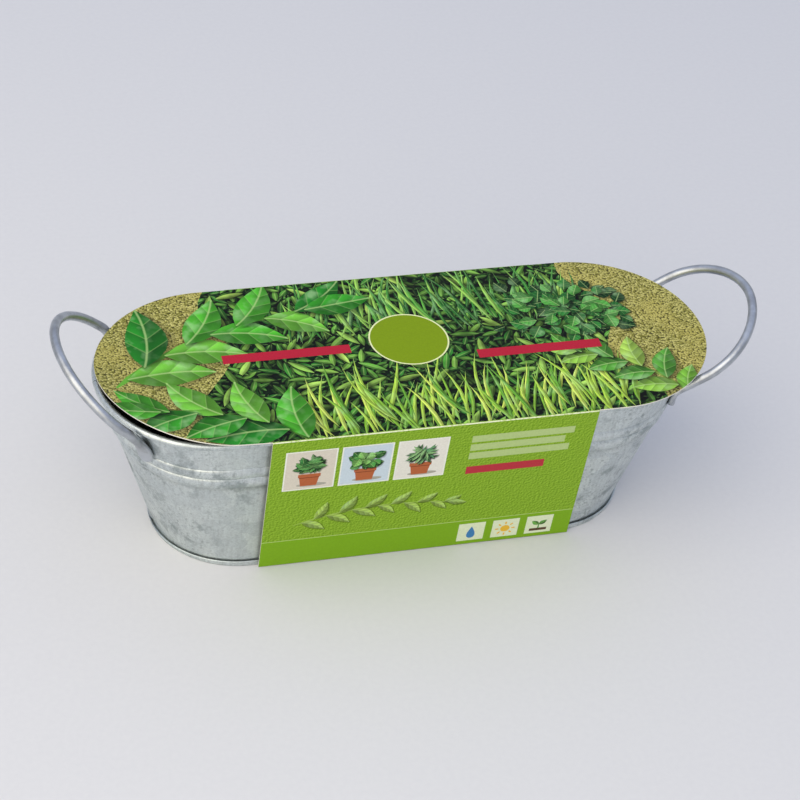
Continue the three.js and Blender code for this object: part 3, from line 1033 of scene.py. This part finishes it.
def thicket_patch():
    """The undergrowth's patch, which runs past the card's long sides and has wavering ends."""
    reach = 70
    steps = 22
    levels = [-reach + 2 * reach * i / steps for i in range(steps + 1)]

    def wavering(x, wave, pace, start, slant):
        return [(x + wave * sin(y / pace + start) + slant * y, y) for y in levels]

    right = wavering(106, wave=7, pace=11, start=0, slant=-0.1)
    left = wavering(-96, wave=8, pace=13, start=1, slant=0.16)
    return area(right + left[::-1], "#2a6b28", "thicket")


def blades(count, left, right, root, colours, length=48):
    """Narrow leaves that rise side by side from one line, every second one over a shadow."""
    lean = 0.42
    bow = 0.1
    sizes = (0.6, 1.1)
    widths = (1.3, 2.5)
    roots = (-6, 9)
    shift = (0.6, -0.5)
    dice = card_dice
    shapes = []
    for i in range(count):
        x = left + (right - left) * (i + dice.random()) / count
        heading = pi / 2 + dice.uniform(-lean, lean)
        size = length * dice.uniform(*sizes)
        colour = dice.choice(colours)
        foot = (x, root + dice.uniform(*roots))
        width = dice.uniform(*widths)
        made = leaf(foot, heading, size, width, colour, dice.uniform(-bow, bow), point=0.7, steps=5)
        shapes += over_shadow(made, shift) if i % 2 else [made]
    return shapes


def cushion_of_leaves(centre, width, height, count, size, colours, dice, slim=0.8):
    """A dense rounded clump of small leaves, the darker lower ones first."""
    gather = 0.4
    sizes = (0.75, 1.2)
    sway = 0.9
    shift = (0.07 * size, -0.09 * size)
    shapes = []
    for i in range(count):
        turn = dice.uniform(0, 2 * pi)
        far = sqrt(dice.random()) * (1 - gather * i / count)
        spot = Vector((width / 2 * far * cos(turn), height / 2 * far * sin(turn))) + Vector(centre)
        length = size * dice.uniform(*sizes)
        tone = colours[int(len(colours) * i / count)]
        heading = turn + dice.uniform(-sway, sway)
        root = spot - heading_to(heading) * length / 2
        made = leaf(root, heading, length, length * slim, tone, point=0.95, steps=6)
        shapes += over_shadow(made, shift)
    return shapes


def card_print():
    """Undergrowth, blades, a clump and three sprigs on seed grain, red strips, and a bare round label."""
    grassy = ("#2f7f2c", "#57a53c", "#1f6626", "#8fc452")
    spring = ("#7fb432", "#a8ce46", "#5f9f2c", "#c8de5e")
    bushy = ("#123f1c", "#1d5a25", "#2c7430", "#4c963e")
    young = ("#6fa838", "#84b544", "#4f9434", "#9cc252")
    fresh = ("#2f8a22", "#46a02a", "#1f7620", "#68b03a")
    right_path = ((132, -58), (120, -26), (84, -14))
    back_path = ((-146, -12), (-112, 28), (-44, 38))
    front_path = ((-58, -64), (-80, -34), (-128, -32))
    label = (2.7, 7.5)
    large = {"dice": card_dice, "shift": (1.1, -1.3)}
    return [
        stadium(),
        thicket_patch(),
        *blades(84, left=-62, right=92, root=16, colours=grassy),
        *blades(104, left=-66, right=104, root=-60, colours=spring),
        *cushion_of_leaves((88, 20), width=84, height=62, count=84, size=9, colours=bushy, dice=card_dice),
        *sprig(right_path, count=9, length=26, width=13, splay=0.95, colours=young, **large),
        *sprig(back_path, count=8, length=50, width=23, splay=0.8, colours=fresh, **large),
        *sprig(front_path, count=7, length=42, width=20, splay=0.85, colours=fresh, **large),
        block(-92, 1, -28, 7.5, "#b31f36"),
        block(34, -12, 98, -5.5, "#b31f36"),
        oval(label, 40.4, 40.4, "#e4ebb4", 64),
        oval(label, 38.8, 38.8, "#7b960c", 64),
    ]


def on_card(x, y, front):
    towards_bow = -x * cos(bow_turn) - y * sin(bow_turn)
    share = max((towards_bow - bow_start) / (bow_end - bow_start), 0)
    height = card_thickness / 2 if front else -card_thickness / 2
    return card_middle + Vector((x, y, bow_rise * share * share)) * mm + Vector((0, 0, height))


white_board = made_of("coated_white_board", grained, shades=("#f1efe6", "#dcd8ca"), **bare_fibre)
card_finishes = {
    **plain_finishes,
    "grain": made_of("varnished_seed_grain_ink_on_card", varnished, draw_colour=grain_colour),
    "thicket": made_of("varnished_thicket_ink_on_card", varnished, draw_colour=thicket_colour),
}
card = printed_sheet("herb_card", card_print(), on_card, card_finishes, white_board, spacing=6)
fit(card, "top_card", "sleeve")


# Panels: the front and back of the same die-cut board, creased and folded down over the rim. They lean in
# to stand close outside the foot. The print is lime with a leather-like mottle and a plain band below, and
# it is worn along the crease, where the white board shows.
fold_round = 0.8
band_share = 0.8
line_below = 0.2
line_above = 0.25
crease_start = 0.3
crease_end = 0.95
picture_width = 24
picture_height = 27
picture_top = -9
tile_step = 18
tile_half = 7
tile_foot = 2.6
tile_top = 16.2
sign_height = 9
sign_steps = 24
tile_tint = "#dfe8c8"
red_tint = "#b8323f"
hinges = {joint["child"]: Vector(joint["pos_m"]) for joint in frame["joints"] if "pos_m" in joint}


def lime_colour(add):
    """Lime ground with a leather-like mottle, lit from one side."""
    light_shift = 0.34
    flat = add("UVMap", uv_map="plan")
    lit_from = add("VectorMath.ADD", flat, (-light_shift, light_shift, 0))
    hills = [add("TexNoise", spot, Size=1.25, Detail=2, **flat_noise) for spot in (flat, lit_from)]
    tone = add("MapRange", add("Math.SUBTRACT", *hills), From=(-0.25, 0.25))
    return add("Mix", tone, "#66900c", "#9bc13a")


def worn_colour(add):
    """The crease: lime ink cracked off the white board in short flecks."""
    # Real flecks are finer, and these are drawn as coarse as they need to show.
    flecks = add("TexNoise", add("UVMap", uv_map="plan"), Size=1.3, Detail=3, **flat_noise)
    worn = add("MapRange", flecks, From=(0.2, 0.55))
    return add("Mix", worn, "#a3bd62", "#dfe5c4")


def pot(middle, foot, width, height):
    """A plain clay flowerpot, in shares of its size: its body, the shade under its rim, and the rim."""
    clay = "#b5643c"
    parts = (
        ([(-0.36, 0), (0.36, 0), (0.45, 0.75), (-0.45, 0.75)], clay),
        ([(-0.45, 0.66), (0.45, 0.66), (0.45, 0.73), (-0.45, 0.73)], "#7e4024"),
        ([(-0.5, 0.72), (0.5, 0.72), (0.5, 1), (-0.5, 1)], clay),
    )
    return [area([(middle + x * width, foot + y * height) for x, y in part], tint) for part, tint in parts]


def potted(left, ground, dice, length, slim, count, colours):
    """A small picture of a potted herb in a white frame."""
    edge = 0.7
    pot_size = (0.46 * picture_width, 0.32 * picture_height)
    shadow_size = (0.62 * picture_width, 2.6)
    crown_width = picture_width - 1.3 * length
    crown_height = 0.8 * crown_width
    right = left + picture_width
    bottom = picture_top - picture_height
    middle = left + picture_width / 2
    foot = bottom + 2
    crown = (middle, picture_top - 0.38 * picture_height)
    return [
        block(left - edge, bottom - edge, right + edge, picture_top + edge, "#eef0e4"),
        block(left, bottom, right, picture_top, ground),
        oval((middle + 1.5, foot + 0.6), *shadow_size, "#a9a79a", 20),
        *pot(middle, foot, *pot_size),
        *cushion_of_leaves(crown, crown_width, crown_height, count, length, colours, dice, slim),
    ]


def sun_sign(x, y):
    """A sun: straight rays round a disc."""
    yellow = "#e8b93a"
    ray_count = 8
    ray_start = 3.4
    ray_end = 5.2
    ray_half = 0.45
    disc = 5
    centre = Vector((x, y))
    rays = []
    for i in range(ray_count):
        out = heading_to(2 * pi * i / ray_count)
        side = out.orthogonal() * ray_half
        start = centre + out * ray_start
        end = centre + out * ray_end
        rays.append(area([start - side, end - side, end + side, start + side], yellow))
    return rays + [oval((x, y), disc, disc, yellow, sign_steps)]


def drop_sign(x, y):
    """A drop of water: a round belly drawn up to a point."""
    width = 3.1
    height = 4.6
    sharpness = 1.4
    turns = [2 * pi * i / sign_steps for i in range(sign_steps)]
    outline = [(x - width * sin(t) * sin(t / 2) ** sharpness, y + height * cos(t)) for t in turns]
    return [area(outline, "#3f7fb8")]


def sprout_sign(x, y):
    """A sprout: two seed leaves on a short stem over a bar of soil."""
    turn = 0.7
    green = "#4c8a35"
    size = {"length": 5.2, "width": 3, "point": 0.9, "steps": 6}
    return [
        block(x - 4.6, y - 4.6, x + 4.6, y - 2.6, "#5a4430"),
        stalk(((x, y - 3), (x, y), (x, y + 1)), 0.9, green),
        leaf((x, y), turn, colour=green, **size),
        leaf((x, y), pi - turn, colour="#5d9c40", **size),
    ]


def sign_row(left, bottom, *signs):
    """A row of small signs on pale tiles in the plain band."""
    shapes = []
    for i, sign in enumerate(signs):
        x = left + tile_step * i
        shapes.append(block(x - tile_half, bottom + tile_foot, x + tile_half, bottom + tile_top, tile_tint))
        shapes += sign(x, bottom + sign_height)
    return shapes


def ground_print(width, bottom):
    """What both panels share: the lime ground, the plain band with its pale line, and the worn crease."""
    half = width / 2
    line = band_share * bottom
    return [
        block(-half, bottom, half, 0, "#7d9f34", "lime"),
        block(-half, bottom, half, line, "#7dab1b"),
        block(-half, line - line_below, half, line + line_above, "#b3cf7a"),
        block(-half, -crease_end, half, -crease_start, "#d8deb8", "worn"),
    ]


def front_print(bottom):
    """Three pictures of potted herbs, blank strips, a pale sprig, and three signs."""
    dice = random.Random(8)
    broad = ("#17502a", "#236232", "#2f7338", "#4d8c47")
    rounded = ("#1c5a26", "#2f7a33", "#479341", "#7ab75c")
    needled = ("#2c5f3c", "#46805a", "#5d9462", "#86b478")
    faint = ("#93b14a", "#9dbb56")
    path = ((-66, -64), (-30, -50), (12, -58))
    strip_step = 6.2
    strips = []
    for i, strip_end in enumerate((70, 66, 69)):
        drop = strip_step * i
        strips.append(block(18, -14.5 - drop, strip_end, -9.8 - drop, "#b4ca86"))
    return [
        *potted(-73, "#d9d2c3", dice, length=7.4, slim=0.44, count=32, colours=broad),
        *potted(-45.5, "#c9d8e2", dice, length=5.2, slim=0.85, count=38, colours=rounded),
        *potted(-18, "#e6e4da", dice, length=8.8, slim=0.22, count=38, colours=needled),
        *strips,
        block(18, -38, 58, -32.5, red_tint),
        *sprig(path, count=12, length=15, width=5.5, splay=0.8, colours=faint, dice=dice),
        *sign_row(28, bottom, drop_sign, sun_sign, sprout_sign),
    ]


def back_print(bottom):
    """A calendar grid for sowing, planting out and harvest, a sprig, and three signs."""
    months = 12
    month_step = 6.2
    month_width = 5
    row_step = 15
    row_height = 8
    path = ((22, -66), (40, -40), (64, -14))
    colours = ("#3f8a3a", "#5aa04a", "#7fb45f")
    shapes = [block(-70, -66, 12, -10, tile_tint)]
    for row, tint in enumerate(("#4f8f3a", "#c9a63a", red_tint)):
        for i in range(months):
            x = -66 + month_step * i
            y = -18 - row_step * row
            filled = 2 + row <= i <= 6 + 2 * row
            shapes.append(block(x, y - row_height, x + month_width, y, tint if filled else "#f4f5ea"))
    wide = {"dice": random.Random(9), "shift": (0.7, -0.8)}
    shapes += sprig(path, count=11, length=20, width=8, splay=0.8, colours=colours, **wide)
    return shapes + sign_row(-62, bottom, sprout_sign, drop_sign, sun_sign)


def folded_panel(name, solid, body, side, draw_print):
    """A panel with its crease: it bends round the fold and hangs from it, leaning in towards the foot."""
    low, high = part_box(solid)
    hinge = hinges[body] / mm
    thickness = card_thickness / mm
    inner_foot = (high.y if side < 0 else low.y) / mm
    lean = atan2(abs(hinge.y - inner_foot) - thickness / 2, hinge.z - low.z / mm)
    bend = pi / 2 + lean
    bend_length = fold_round * bend
    centre_z = hinge.z + thickness / 2 - fold_round
    centre_in = (fold_round - thickness / 2 + (fold_round - thickness / 2) * sin(lean)) / cos(lean)
    centre_y = hinge.y - side * centre_in
    drop = centre_z - fold_round * sin(lean) - low.z / mm
    bottom = -(bend_length + drop / cos(lean))
    middle_x = (low.x + high.x) / 2 / mm

    def on_panel(x, y, front):
        turn = min(-y / fold_round, bend)
        straight = max(-y - bend_length, 0)
        radius = fold_round if front else fold_round - thickness
        out = side * (radius * sin(turn) + straight * cos(turn))
        up = radius * cos(turn) - straight * sin(turn)
        return Vector((middle_x - side * x, centre_y + out, centre_z + up)) * mm

    shapes = ground_print((high.x - low.x) / mm, bottom) + draw_print(bottom)
    panel = printed_sheet(name, shapes, on_panel, panel_finishes, white_board, spacing=5)
    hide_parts(solid)
    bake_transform(panel)


panel_finishes = {
    **plain_finishes,
    "lime": made_of("varnished_lime_ink_on_card", varnished, draw_colour=lime_colour),
    "worn": made_of("worn_lime_ink_on_card", varnished, draw_colour=worn_colour, roughness=0.55),
}
folded_panel("front_flap_card", "front_panel", "front_flap", -1, front_print)
folded_panel("back_flap_card", "back_panel", "back_flap", 1, back_print)


# Studio: a pale sheet of paper as the floor, a large soft lamp to the left, and a room that lights the
# shadows and that the shiny pieces mirror. The paper runs on to the room's edge, its walls are duller and
# its ceiling is pale.
floor_size = 8
key_size = 2.6
key_place = Vector((-0.95, -0.8, 1.2))
key_power = 34
key_tint = "#fff2d6"
ceiling_tint = "#dce5ff"
wall_tint = "#a6a49d"
paper_tint = "#d9dce2"
wall_start = 0.08
wall_full = 0.18
ceiling_start = 0.55
room_strength = 0.85

edge = floor_size / 2
floor_corners = [(-edge, -edge, 0), (edge, -edge, 0), (edge, edge, 0), (-edge, edge, 0)]
# Matt paper is even and dull. Its grain is finer in life, and is drawn as coarse as it needs to show.
floor_paper = made_of("studio_paper", grained, grain=3 * mm, shades=("#d2d3d5", "#d8d9da"), Roughness=0.9)
piece("floor", floor_corners, [(0, 1, 2, 3)], [floor_paper])

key = bpy.data.lights.new("key_softbox", "AREA")
key.size = key_size
key.energy = key_power
key.color = linear(key_tint)[:3]
key_lamp = bpy.data.objects.new("key_softbox", key)
key_lamp.location = key_place
key_lamp.rotation_euler = (-key_place).to_track_quat("-Z", "Y").to_euler()
scene.collection.objects.link(key_lamp)

room = bpy.data.worlds.new("pale_room")
room.use_nodes = True
room.node_tree.nodes.clear()
scene.world = room
add = partial(node, room.node_tree)
upwards = add("SeparateXYZ", add("TexCoord", out="Generated"), out="Z")
ceiling = add("MapRange", upwards, From=(wall_full, ceiling_start))
painted = add("Mix", ceiling, wall_tint, ceiling_tint)
above_paper = add("MapRange", upwards, From=(wall_start, wall_full))
around = add("Mix", above_paper, paper_tint, painted)
add("OutputWorld", add("Background", around, room_strength))
